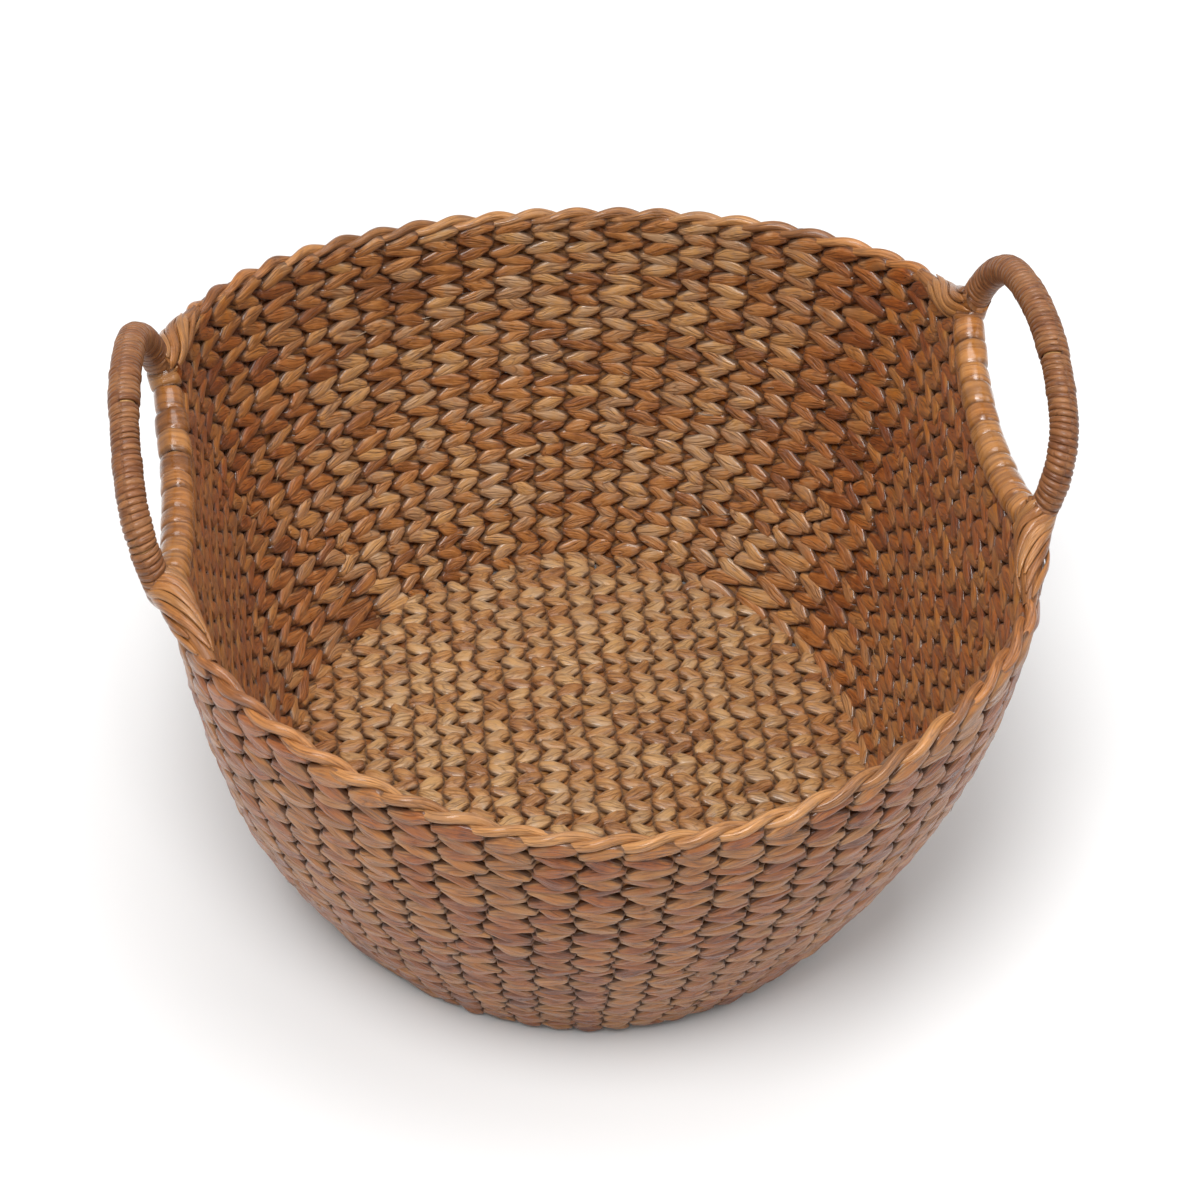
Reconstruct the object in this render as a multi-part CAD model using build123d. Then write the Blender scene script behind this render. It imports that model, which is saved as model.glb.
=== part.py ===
from build123d import *
import os
from math import asin, cos, pi, radians, sin, sqrt

# Round twined basket with a flat floor, a flaring wall and two bound hoop handles.
# Millimetres, +Z up, X through the two handles, origin at the centre of the floor's underside.
# The wall is one bowl surface: wall_point(rise, angle) is its middle layer, where rise runs from
# 0 at the floor's edge to 1 at the rim, and angle runs round the basket from +X towards +Y.
# The stakes lie in that middle layer, between an outer and an inner layer of weft.

os.makedirs("parts", exist_ok=True)

# Bowl
FLOOR_HALF_X = 164.0
FLOOR_HALF_Y = 173.0
RIM_HALF_X = 240.0  # of the rim's oval, which the side panels cut short at the handles
RIM_HALF_Y = 236.0
WALL_HEIGHT = 218.0  # floor's middle layer to the rim, at the front and back
SIDE_RISE = 42.0  # how much higher the rim's oval is at its two sides
FLARE = 1.7  # 1 is a straight cone, and more bellies out near the floor
PANEL_FLOOR_X = 176.0
PANEL_SHARPNESS = 24  # of the corner between a side panel and the oval

# Weave
HALF_THICKNESS = 5.5
STAKE_WIDTH = 5.0
STAKE_THICKNESS = 1.8
LAYER_START = 1.4  # from the middle layer to the near face of each weft layer
COURSES = 15  # each is a there-and-back pair of twined rows
RING_COURSES = 12  # courses that run all round, below the handles
WEFT_TOP = 0.978  # rise at which the weft stops, under the rim twist
SEAT = 0.002  # rise left between the rings and the pieces that stand on them
PANEL_STAKE_STEP = radians(5.2)
LONG_STAKES_EACH_SIDE = 6  # either side of the middle one
PANEL_STAKES_EACH_CORNER = 6
BEND_RISE = 0.02  # rise at which a long stake's bend into the floor starts
MITRE_FLOOR_ANGLE = radians(57)
MITRE_TURN = radians(52)  # angle that a mitre turns through from floor to rim
MITRE_TOP = 0.80
SIDE_STAKE_STEP = 17.5
SIDE_STAKES_EACH_SIDE = 7
FLOOR_STAKE_STEP = 14.5
FLOOR_STAKES_EACH_SIDE = 4
FLOOR_COURSES = 21
FLOOR_LAYER = 4.2

# Rim
STRAND_RADIUS = 4.2
STRAND_OFFSET = 4.3
LASHING_LENGTH = 22.0
LASHING_HALF_WIDTH = 8.0
LASHING_HALF_HEIGHT = 4.6

# Handles, each an egg-shaped hoop of tangent arcs in a plane that leans outwards
HANDLE_SIDES = {"right": (1, 212.0, 4.0, 268.5), "left": (-1, 219.0, -4.0, 254.5)}
HANDLE_HALF_LENGTH = 83.0
HANDLE_LEAN = radians(17)
GRIP_RISE = 47.0
GRIP_END_RADIUS = 40.0
BAR_DROP = 26.0
BAR_END_RADIUS = 14.0
CORE_RADIUS = 5.6
WRAP_RADIUS = 8.0
BAR_BANDS = 11
GAP = 0.1

FLOOR_MID = HALF_THICKNESS
BEHIND_HANDLE = HANDLE_HALF_LENGTH + WRAP_RADIUS + 1.0
BAR_CROWN_RADIUS = (
    HANDLE_HALF_LENGTH**2 + BAR_DROP**2 - 2 * HANDLE_HALF_LENGTH * BAR_END_RADIUS
) / (2 * (BAR_DROP - BAR_END_RADIUS))


def handle_of(angle):
    """The handle on this side of the basket: its sign, and its middle x, y and z."""
    return HANDLE_SIDES["right" if cos(angle) > 0 else "left"]


def half_y(rise):
    """Half the basket's front-to-back size at this rise."""
    return FLOOR_HALF_Y + (RIM_HALF_Y - FLOOR_HALF_Y) * (1 - (1 - rise) ** FLARE)


def wall_point(rise, angle):
    """A point of the wall's middle layer: an oval, cut short by the side panels."""
    half_x = FLOOR_HALF_X + (RIM_HALF_X - FLOOR_HALF_X) * (1 - (1 - rise) ** FLARE)
    oval_x = abs(half_x * cos(angle))
    z = WALL_HEIGHT * rise + SIDE_RISE * rise**2 * (oval_x / RIM_HALF_X) ** 2
    side, handle_x, _, handle_z = handle_of(angle)
    bar_x = handle_x - BAR_DROP * sin(HANDLE_LEAN)
    bar_z = handle_z - BAR_DROP * cos(HANDLE_LEAN)
    panel_x = PANEL_FLOOR_X + (bar_x - PANEL_FLOOR_X) * z / bar_z
    x = oval_x / (1 + (oval_x / panel_x) ** PANEL_SHARPNESS) ** (1 / PANEL_SHARPNESS)
    return Vector(side * x, half_y(rise) * sin(angle), FLOOR_MID + z)


def wall_normal(rise, angle):
    """The unit normal there, pointing out of the basket."""
    step = 1e-4
    up = wall_point(min(rise + step, 1), angle) - wall_point(max(rise - step, 0), angle)
    along = wall_point(rise, angle + step) - wall_point(rise, angle - step)
    return along.cross(up).normalized()


def layer_point(rise, angle, offset):
    """A point of the layer that lies this far outside the wall's middle layer."""
    return wall_point(rise, angle) + wall_normal(rise, angle) * offset


def spread(first, last, count):
    """Evenly spaced values from first to last, both included."""
    return [first + (last - first) * i / (count - 1) for i in range(count)]


def skin(lines, closed=False):
    """The long faces of a bar whose corners follow these lines, each a list of points."""
    if closed:
        edges = [Edge.make_spline(line, periodic=True) for line in lines]
    else:
        edges = [Edge.make_spline(line) if len(line) > 2 else Edge.make_line(*line) for line in lines]
    return [Face.make_surface_from_curves(a, b) for a, b in zip(edges, edges[1:] + edges[:1])]


def end_face(lines, index):
    """The face that closes a bar at one end of its lines."""
    corners = [line[index] for line in lines]
    if len(corners) > 4:
        return Face(Wire.make_polygon(corners))
    first = Edge.make_line(corners[0], corners[1])
    return Face.make_surface_from_curves(first, Edge.make_line(corners[3], corners[2]))


def sewn(faces):
    """One closed solid from faces that meet along their edges."""
    return Solid(Shell(Face.sew_faces(faces)[0]))


def bar(*runs):
    """A solid bar along one or more runs of lines, where each run starts as the last one ends."""
    faces = [face for run in runs for face in skin(run)]
    return sewn(faces + [end_face(runs[0], 0), end_face(runs[-1], -1)])


def save(name, *solids):
    """Write one sub-part, as one solid or as a group of separate solids."""
    shape = solids[0] if len(solids) == 1 else Compound(list(solids))
    export_step(shape, os.path.join("parts", name + ".step"))


# Where the weave stops


def angle_at(y, rise):
    """The angle, on the +X side, at which the wall passes this y."""
    return asin(y / half_y(rise))


def opening_ends(y_reach):
    """Angles where the right and left handle zones start and stop, at the rim, going round."""
    right_y, left_y = HANDLE_SIDES["right"][2], HANDLE_SIDES["left"][2]
    return (
        angle_at(right_y - y_reach, 1),
        angle_at(right_y + y_reach, 1),
        pi - angle_at(left_y + y_reach, 1),
        pi - angle_at(left_y - y_reach, 1),
    )


def bar_underside(y, handle_y, handle_z):
    """Height of the lower face of the bound bar at this y."""
    across = abs(y - handle_y)
    reach = WRAP_RADIUS + 4 * GAP
    end_centre = HANDLE_HALF_LENGTH - BAR_END_RADIUS
    crown_centre = BAR_CROWN_RADIUS - BAR_DROP
    straight = crown_centre - sqrt((BAR_CROWN_RADIUS + reach) ** 2 - across**2)
    rounded = BAR_END_RADIUS + reach
    if across > end_centre + rounded * end_centre / (BAR_CROWN_RADIUS - BAR_END_RADIUS):
        straight = -sqrt(max(rounded**2 - (across - end_centre) ** 2, 0))
    return handle_z + straight * cos(HANDLE_LEAN)


def rise_under_bar(angle):
    """Rise at which the wall meets the underside of the bar, but no higher than the weft's top."""
    low, high = 0.5, WEFT_TOP
    for _ in range(30):
        middle = (low + high) / 2
        point = wall_point(middle, angle)
        _, _, handle_y, handle_z = handle_of(angle)
        if point.Z > bar_underside(point.Y, handle_y, handle_z):
            high = middle
        else:
            low = middle
    return low


def mitre_angle(rise):
    """Angle of the mitre between a side panel and the front or back, from the +X axis."""
    return MITRE_FLOOR_ANGLE - MITRE_TURN * rise


# Weft


def weft_lines(rises, angles, inside):
    """Corner lines of a weft layer: rises gives the lower and upper rise for an angle."""
    near, far = LAYER_START, HALF_THICKNESS
    offsets = (-near, -far) if inside else (near, far)
    corners = ((0, offsets[0]), (0, offsets[1]), (1, offsets[1]), (1, offsets[0]))
    return [[layer_point(rises(a)[level], a, offset) for a in angles] for level, offset in corners]


def course_rises(course):
    """Lower and upper rise of a course."""
    return WEFT_TOP * course / COURSES, WEFT_TOP * (course + 1) / COURSES


def save_courses():
    """Every course, as an outer and an inner strand: rings, then arcs between the handles."""
    ring_angles = [2 * pi * i / 96 for i in range(96)]
    right_start, right_stop, left_start, left_stop = opening_ends(BEHIND_HANDLE)
    arcs = (spread(right_stop, left_start, 41), spread(left_stop, 2 * pi + right_start, 41))
    for course in range(COURSES):
        for layer, inside in (("outer", False), ("inner", True)):
            name = f"weft_course_{course + 1:02d}_{layer}"
            low, high = course_rises(course)
            low += SEAT if course == RING_COURSES else 0

            def rises(_angle, low=low, high=high):
                return low, high

            if course < RING_COURSES:
                save(name, sewn(skin(weft_lines(rises, ring_angles, inside), closed=True)))
            else:
                save(name, *[bar(weft_lines(rises, angles, inside)) for angles in arcs])


def save_side_tops():
    """The top of each side panel, which fills the wall up to the handle's bar."""
    low = course_rises(RING_COURSES)[0] + SEAT
    right_start, right_stop, left_start, left_stop = opening_ends(BEHIND_HANDLE - 4 * GAP)
    for side, first, last in (("right", right_start, right_stop), ("left", left_start, left_stop)):
        for layer, inside in (("outer", False), ("inner", True)):
            lines = weft_lines(lambda a: (low, rise_under_bar(a)), spread(first, last, 41), inside)
            save(f"side_top_{side}_{layer}", bar(lines))


def save_floor():
    """Two layers of floor weft, in strips across the basket, with the stakes between them."""
    width = 2 * FLOOR_HALF_Y / FLOOR_COURSES
    levels = {
        "floor_weft_lower": (0.0, 0.0),
        "floor_weft_upper": (2 * HALF_THICKNESS - FLOOR_LAYER, HALF_THICKNESS - GAP),
    }
    for name, (height, inset) in levels.items():
        oval = Ellipse(FLOOR_HALF_X - inset, FLOOR_HALF_Y - inset)
        strips = []
        for row in range(FLOOR_COURSES):
            y = width * (row - (FLOOR_COURSES - 1) / 2)
            strip = Pos(0, y) * Rectangle(2 * FLOOR_HALF_X, width) & oval
            strips.append(Pos(0, 0, height) * extrude(strip, FLOOR_LAYER).solid())
        save(name, *strips)


# Stakes


def stake_lines(path):
    """Corner lines of a flat stake along (rise, angle) pairs of the middle layer."""
    half = STAKE_THICKNESS / 2
    lines = [[], [], [], []]
    for rise, angle in path:
        point, normal = wall_point(rise, angle), wall_normal(rise, angle)
        along = wall_point(rise, angle + 1e-3) - wall_point(rise, angle - 1e-3)
        across = along.normalized() * (STAKE_WIDTH / 2)
        for line, (a, b) in zip(lines, ((-1, -1), (1, -1), (1, 1), (-1, 1))):
            line.append(point + across * a + normal * (half * b))
    return lines


def bend_corners(lines):
    """The mitred corner where a wall stake's lines, which start at the floor, meet the floor."""
    centre = (lines[0][0] + lines[1][0] + lines[2][0] + lines[3][0]) / 4
    side = (lines[1][0] - lines[0][0]) / 2
    normal = (lines[3][0] - lines[0][0]).normalized()
    down = Vector(0, 0, -1)
    bisector = (normal + down) / (1 + normal.dot(down)) * (STAKE_THICKNESS / 2)
    return [centre + side * a + bisector * b for a, b in ((-1, -1), (1, -1), (1, 1), (-1, 1))]


def mirrored(point):
    """The same point at the front of the basket."""
    return Vector(point.X, -point.Y, point.Z)


def save_long_stakes():
    """Stakes that run from the front rim down, across the floor and up to the back rim."""
    stakes = []
    rises = spread(BEND_RISE, WEFT_TOP, 15)
    for step in range(-LONG_STAKES_EACH_SIDE, LONG_STAKES_EACH_SIDE + 1):
        angle = pi / 2 + step * PANEL_STAKE_STEP
        up_wall = stake_lines([(rise, angle) for rise in rises])
        corner = bend_corners(stake_lines([(0, angle)]))
        back = ([[c, line[0]] for c, line in zip(corner, up_wall)], up_wall)
        front = [[[mirrored(p) for p in reversed(line)] for line in run] for run in reversed(back)]
        floor = [[mirrored(c), c] for c in corner]
        stakes.append(bar(*front, floor, *back))
    save("long_stakes", *stakes)


def save_panel_stakes():
    """Shorter stakes of the front and back, from each mitre up to the rim."""
    quadrants = {"back": (lambda a: a, lambda a: pi - a), "front": (lambda a: -a, lambda a: pi + a)}
    for name, turns in quadrants.items():
        stakes = []
        for step in range(PANEL_STAKES_EACH_CORNER):
            angle = pi / 2 - (LONG_STAKES_EACH_SIDE + 1 + step) * PANEL_STAKE_STEP
            start = (MITRE_FLOOR_ANGLE - angle) / MITRE_TURN + 0.05
            for turn in turns:
                path = [(rise, turn(angle)) for rise in spread(start, WEFT_TOP, 13)]
                stakes.append(bar(stake_lines(path)))
        save(f"panel_stakes_{name}", *stakes)


def save_side_stakes():
    """Stakes of each side panel, upright from the floor's edge to a mitre or the bar."""
    for side, turn in (("right", lambda a: a), ("left", lambda a: pi - a)):
        stakes = []
        for step in range(-SIDE_STAKES_EACH_SIDE, SIDE_STAKES_EACH_SIDE + 1):
            y = step * SIDE_STAKE_STEP
            stop = 0.02
            while stop < 0.9 and abs(y) < half_y(stop) * sin(mitre_angle(stop)) - 9:
                stop += 0.01
            stop = min(stop, rise_under_bar(turn(angle_at(y, stop))) - 0.01)
            if stop > 0.1:
                path = [(rise, turn(angle_at(y, rise))) for rise in spread(0.01, stop, 13)]
                stakes.append(bar(stake_lines(path)))
        save(f"side_stakes_{side}", *stakes)


def save_corner_stakes():
    """The four bare stakes that the rows turn at, from the floor's corners to the handles."""
    turns = (lambda a: a, lambda a: pi - a, lambda a: pi + a, lambda a: -a)
    rises = spread(0.02, MITRE_TOP, 17)
    save("corner_stakes", *[bar(stake_lines([(r, turn(mitre_angle(r))) for r in rises])) for turn in turns])


def save_floor_stakes():
    """Floor stakes on either side of the long ones, which end at the floor's edge."""
    first = FLOOR_HALF_X * cos(pi / 2 - LONG_STAKES_EACH_SIDE * PANEL_STAKE_STEP)
    stakes = []
    for step in range(1, FLOOR_STAKES_EACH_SIDE + 1):
        x = first + step * FLOOR_STAKE_STEP
        reach = FLOOR_HALF_Y * sqrt(1 - ((x + STAKE_WIDTH / 2) / FLOOR_HALF_X) ** 2) - HALF_THICKNESS
        for side in (-1, 1):
            box = Box(STAKE_WIDTH, 2 * reach, STAKE_THICKNESS)
            stakes.append((Pos(side * x, 0, FLOOR_MID) * box).solid())
    save("floor_stakes", *stakes)


# Rim


def tube_lines(angles, offset, half_width, half_height, sides=8):
    """Corner lines of a tube along the rim, whose section is an ellipse."""
    lines = [[] for _ in range(sides)]
    for angle in angles:
        normal = wall_normal(1, angle)
        along = wall_point(1, angle + 1e-3) - wall_point(1, angle - 1e-3)
        upward = along.cross(normal).normalized() * -1
        centre = wall_point(1, angle) + normal * offset
        for i, line in enumerate(lines):
            turn = 2 * pi * (i + 0.5) / sides
            line.append(centre + normal * (half_width * cos(turn)) + upward * (half_height * sin(turn)))
    return lines


def save_rim():
    """The two strands of the rim twist, laid side by side, with a tie bundle at each handle foot."""
    right_start, right_stop, left_start, left_stop = opening_ends(BEHIND_HANDLE + LASHING_LENGTH + GAP)
    arcs = (spread(right_stop, left_start, 41), spread(left_stop, 2 * pi + right_start, 41))
    for name, offset in (("outer", STRAND_OFFSET), ("inner", -STRAND_OFFSET)):
        lines = [tube_lines(angles, offset, STRAND_RADIUS, STRAND_RADIUS) for angles in arcs]
        save(f"rim_strand_{name}", *[bar(line) for line in lines])
    near = opening_ends(BEHIND_HANDLE + GAP)
    far = opening_ends(BEHIND_HANDLE + LASHING_LENGTH)
    names = ("front_right", "back_right", "back_left", "front_left")
    for name, first, last in zip(names, near, far):
        lines = tube_lines(spread(first, last, 4), 0, LASHING_HALF_WIDTH, LASHING_HALF_HEIGHT)
        save(f"rim_tie_{name}", bar(lines))


# Handles


def arch(half_span, rise, end_radius, up):
    """A three-centred arch from +half_span to -half_span, as three tangent arcs of three points."""
    crown_radius = (half_span**2 + rise**2 - 2 * half_span * end_radius) / (2 * (rise - end_radius))
    end_centre = half_span - end_radius
    scale = end_radius / (crown_radius - end_radius)
    joint = (end_centre + scale * end_centre, scale * (crown_radius - rise))
    half_turn = ((half_span - end_centre) + (joint[0] - end_centre), joint[1])
    length = sqrt(half_turn[0] ** 2 + half_turn[1] ** 2)
    middle = (end_centre + end_radius * half_turn[0] / length, end_radius * half_turn[1] / length)
    points = [(half_span, 0), middle, joint, (0, rise)]
    points += [(-x, y) for x, y in (joint, middle, (half_span, 0))]
    points = [(x, y * up) for x, y in points]
    return points[0:3], points[2:5], points[4:7]


def handle_plane(side, x, y, z):
    """The leaning plane of a hoop: its own x runs along +Y and its own y up and outwards."""
    lean = (cos(HANDLE_LEAN), 0, -side * sin(HANDLE_LEAN))
    return Plane(origin=(side * x, y, z), x_dir=(0, 1, 0), z_dir=lean)


def path_along(plane, *arcs):
    """The path through these arcs, drawn in the plane."""
    edges = [Edge.make_three_point_arc(*[plane.from_local_coords((a, b, 0)) for a, b in arc]) for arc in arcs]
    return Wire(edges)


def swept(path, outer, inner=0.0):
    """A round bar or a sleeve along the path."""
    section = Circle(outer) - Circle(inner) if inner else Circle(outer)
    start = Plane(origin=path @ 0, z_dir=path % 0)
    return sweep(start * section, path).solid()


def bar_band(plane, first, last):
    """A flat strip wound round the bar between two angles of its crown arc."""
    centre = BAR_CROWN_RADIUS - BAR_DROP
    turns = (first, (first + last) / 2, last)
    arc = [(BAR_CROWN_RADIUS * sin(t), centre - BAR_CROWN_RADIUS * cos(t)) for t in turns]
    return swept(path_along(plane, arc), WRAP_RADIUS, CORE_RADIUS + GAP)


def save_handles():
    """Each hoop core, the cord wound round its grip, and the flat strips round its bar and feet."""
    crown_reach = HANDLE_HALF_LENGTH - BAR_END_RADIUS
    crown_turn = asin(crown_reach / (BAR_CROWN_RADIUS - BAR_END_RADIUS))
    for name, place in HANDLE_SIDES.items():
        plane = handle_plane(*place)
        grip = arch(HANDLE_HALF_LENGTH, GRIP_RISE, GRIP_END_RADIUS, 1)
        lower = arch(HANDLE_HALF_LENGTH, BAR_DROP, BAR_END_RADIUS, -1)
        back_to_front = [arc[::-1] for arc in reversed(lower)]
        save(f"hoop_core_{name}", swept(path_along(plane, *grip, *back_to_front), CORE_RADIUS))
        save(f"grip_cord_{name}", swept(path_along(plane, *grip), WRAP_RADIUS, CORE_RADIUS + GAP))
        turns = spread(-crown_turn, crown_turn, BAR_BANDS + 1)
        slack = GAP / BAR_CROWN_RADIUS
        bands = [bar_band(plane, a + slack, b - slack) for a, b in zip(turns, turns[1:])]
        save(f"bar_strips_{name}", *bands)
        for foot, arc in (("back", lower[0]), ("front", lower[2])):
            sleeve = swept(path_along(plane, arc), WRAP_RADIUS, CORE_RADIUS + GAP)
            save(f"foot_lashing_{foot}_{name}", sleeve)


save_courses()
save_side_tops()
save_floor()
save_long_stakes()
save_panel_stakes()
save_side_stakes()
save_corner_stakes()
save_floor_stakes()
save_rim()
save_handles()
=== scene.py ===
import bpy
import numpy as np
from mathutils import Matrix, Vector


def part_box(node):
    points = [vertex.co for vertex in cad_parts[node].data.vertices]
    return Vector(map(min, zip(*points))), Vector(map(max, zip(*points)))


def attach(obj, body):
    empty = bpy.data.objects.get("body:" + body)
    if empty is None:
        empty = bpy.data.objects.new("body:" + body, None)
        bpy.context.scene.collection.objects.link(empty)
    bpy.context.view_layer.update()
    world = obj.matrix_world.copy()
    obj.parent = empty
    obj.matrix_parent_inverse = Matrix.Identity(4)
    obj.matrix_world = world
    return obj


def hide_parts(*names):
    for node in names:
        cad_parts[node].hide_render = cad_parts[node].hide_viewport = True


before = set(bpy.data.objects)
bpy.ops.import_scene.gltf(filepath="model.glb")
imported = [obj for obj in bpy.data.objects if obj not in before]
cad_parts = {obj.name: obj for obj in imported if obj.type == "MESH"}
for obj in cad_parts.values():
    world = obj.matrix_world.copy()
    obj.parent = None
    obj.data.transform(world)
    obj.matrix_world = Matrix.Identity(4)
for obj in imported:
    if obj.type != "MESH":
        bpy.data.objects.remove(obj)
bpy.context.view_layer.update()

# The bowl and the weave, in metres, as the CAD model has them. wall(rise, angle) is the middle
# layer of the wall: rise runs from 0 at the floor to 1 at the rim, angle from +X towards +Y.
# The mitre is the corner where a flat side meets the rounded front or back: its angle at the
# floor, and how far it has turned by the rim.

FLOOR_HALF_X, FLOOR_HALF_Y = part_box("floor_weft_lower")[1][:2]
RIM_HALF_X, RIM_HALF_Y = 0.240, 0.236
WALL_HEIGHT, SIDE_RISE, FLARE = 0.218, 0.042, 1.7
PANEL_FLOOR_X, PANEL_SHARPNESS = 0.176, 24
FLOOR_MID = 0.0055
WEFT_TOP = 0.978
ROWS = 30
RING_COURSES = 12  # pairs of rows that go all the way round, below the handles
STAKE_STEP = np.radians(5.2)
MITRE_FLOOR_ANGLE, MITRE_TURN = np.radians(57), np.radians(52)
SIDE_STAKE_STEP = 0.0175
FLOOR_ROWS = 42
ROW_PITCH = 0.0078  # the row height that the strands' sizes below are for
FLOOR_STAKE_STEP = 0.0145

# The hoops: HALF_LENGTH is from the middle to a foot, LEAN is how far they tip outwards.
HALF_LENGTH = 0.083
LEAN = np.radians(17)
GRIP_RISE, GRIP_END_RADIUS = 0.047, 0.040
BAR_DROP, BAR_END_RADIUS = 0.026, 0.014
WRAP_RADIUS = 0.008
BEHIND_HANDLE = HALF_LENGTH + WRAP_RADIUS
BAR_BANDS = 13
SIDES = {"right": 1, "left": -1}


def hoop_centre(name):
    """The middle of a hoop's own axes, from the CAD box of its grip."""
    low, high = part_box("grip_cord_" + name)
    x = max(abs(low[0]), abs(high[0])) - WRAP_RADIUS - GRIP_RISE * np.sin(LEAN)
    z = high[2] - WRAP_RADIUS - GRIP_RISE * np.cos(LEAN)
    return np.array([SIDES[name] * x, (low[1] + high[1]) / 2, z])


CENTRES = {name: hoop_centre(name) for name in SIDES}


def opening(rise):
    """How far the bowl has opened, from 0 at the floor to 1 at the rim."""
    return 1 - np.clip(1 - rise, 0, 1) ** FLARE


def half_y(rise):
    """Half the bowl's size from front to back."""
    return FLOOR_HALF_Y + (RIM_HALF_Y - FLOOR_HALF_Y) * opening(rise)


def wall(rise, angle):
    """Points of the wall's middle layer."""
    rise, angle = np.broadcast_arrays(np.clip(rise, 0, 1.02), angle)
    half_x = FLOOR_HALF_X + (RIM_HALF_X - FLOOR_HALF_X) * opening(rise)
    oval_x = np.abs(half_x * np.cos(angle))
    z = WALL_HEIGHT * rise + SIDE_RISE * rise**2 * (oval_x / RIM_HALF_X) ** 2
    right = np.cos(angle) > 0
    centre_x = np.where(right, abs(CENTRES["right"][0]), abs(CENTRES["left"][0]))
    centre_z = np.where(right, CENTRES["right"][2], CENTRES["left"][2])
    bar_x = centre_x - BAR_DROP * np.sin(LEAN)
    bar_z = centre_z - BAR_DROP * np.cos(LEAN)
    panel_x = PANEL_FLOOR_X + (bar_x - PANEL_FLOOR_X) * z / bar_z
    x = oval_x / (1 + (oval_x / panel_x) ** PANEL_SHARPNESS) ** (1 / PANEL_SHARPNESS)
    return np.stack([np.where(right, x, -x), half_y(rise) * np.sin(angle), FLOOR_MID + z], axis=-1)


def unit(v):
    return v / np.maximum(np.linalg.norm(v, axis=-1, keepdims=True), 1e-12)


def wall_frame(rise, angle):
    """Wall points with their outward normals and the directions up the wall."""
    point = wall(rise, angle)
    up = wall(np.minimum(rise + 1e-3, 1), angle) - wall(np.maximum(rise - 1e-3, 0), angle)
    along = wall(rise, angle + 1e-3) - wall(rise, angle - 1e-3)
    normal = unit(np.cross(along, up))
    return point, normal, unit(np.cross(normal, along))


def crown_radius(half, rise, end_radius):
    """Radius of the middle arc of a three-centred arch."""
    return (half**2 + rise**2 - 2 * half * end_radius) / (2 * (rise - end_radius))


def bar_underside(y, centre):
    """Height of the lower face of a hoop's bar at this y."""
    crown = crown_radius(HALF_LENGTH, BAR_DROP, BAR_END_RADIUS)
    across = np.minimum(np.abs(y - centre[1]), HALF_LENGTH)
    drop = (crown - BAR_DROP) - np.sqrt((crown + WRAP_RADIUS) ** 2 - across**2)
    return centre[2] + drop * np.cos(LEAN)


def top_rise(angle):
    """How far up the weft goes: to the rim, or to the underside of a handle's bar."""
    centre = CENTRES["right" if np.cos(angle) > 0 else "left"]
    levels = np.linspace(0.6, WEFT_TOP, 80)
    points = wall(levels, angle)
    if abs(points[-1, 1] - centre[1]) > BEHIND_HANDLE:
        return WEFT_TOP
    below = points[:, 2] < bar_underside(points[:, 1], centre)
    return levels[below][-1]


# Meshes


def ring_values(u, shade, dive=0.0, face=0.5):
    """What the materials read, one value per ring.

    shade picks a colour, dive is 1 where a strand goes under, where the materials paint shade, and face
    is 0 inside the basket and 1 outside it.
    """
    return {"u": u, "shade": shade + 0 * u, "dive": dive + 0 * u, "face": face + 0 * u}


def oval_tube(path, side, over, wide, high, around):
    """Rings of points round a path, wide along side and high along over, one row to a ring."""
    return (
        path[:, None, :]
        + side[:, None, :] * (wide * np.cos(around))[..., None]
        + over[:, None, :] * (high * np.sin(around))[..., None]
    )


def along_path(where, known, values):
    """Points or directions at the places where, from their values at the known places."""
    return np.stack([np.interp(where, known, values[:, axis]) for axis in range(3)], -1)


def mesh_object(name, tubes):
    """One object from tubes, with u along and v around.

    Each tube is an array of rings of points, whether it closes on itself, and its ring_values.
    """
    vertices, faces, uvs = [], [], []
    values = {key: [] for key in tubes[0][2]}
    base = 0
    for tube, is_closed, value in tubes:
        count, sides = tube.shape[:2]
        vertices.append(tube.reshape(-1, 3))
        spans = np.arange(count if is_closed else count - 1)
        a, b = np.meshgrid(spans, np.arange(sides), indexing="ij")
        a2, b2 = (a + 1) % count, (b + 1) % sides
        quads = np.stack([a * sides + b, a2 * sides + b, a2 * sides + b2, a * sides + b2], axis=-1) + base
        faces.extend(quads.reshape(-1, 4).tolist())
        u = value["u"]
        step = u[1] - u[0]
        u1 = np.where(a2 == 0, u[a] + step, u[a2])
        v0, v1 = (b + 0.5) / sides, (b + 1.5) / sides
        uv = np.stack([u[a], v0, u1, v0, u1, v1, u[a], v1], axis=-1)
        uvs.append(uv.reshape(-1, 2))
        if not is_closed:
            for ring, flip in ((0, False), (count - 1, True)):
                cap = [base + ring * sides + k for k in range(sides)]
                faces.append(cap if flip else cap[::-1])
                v = np.arange(sides) / sides
                uvs.append(np.stack([np.full(sides, u[ring]), v if flip else v[::-1]], axis=-1))
        for key in values:
            values[key].append(np.repeat(value[key], sides))
        base += count * sides
    mesh = bpy.data.meshes.new(name)
    mesh.from_pydata(np.concatenate(vertices).tolist(), [], faces)
    mesh.uv_layers.new(name="UVMap").data.foreach_set("uv", np.concatenate(uvs).astype(np.float32).ravel())
    for key, parts in values.items():
        layer = mesh.attributes.new(key, "FLOAT", "POINT")
        layer.data.foreach_set("value", np.concatenate(parts).astype(np.float32))
    mesh.polygons.foreach_set("use_smooth", np.ones(len(mesh.polygons), dtype=bool))
    mesh.update()
    piece = bpy.data.objects.new(name, mesh)
    bpy.context.scene.collection.objects.link(piece)
    return piece


def add_piece(piece, material, slot, *nodes):
    """Hangs a finished piece on the basket, in place of its CAD nodes."""
    piece.data.materials.append(material)
    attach(piece, "root")
    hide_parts(*nodes)


# The twined rows


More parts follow.
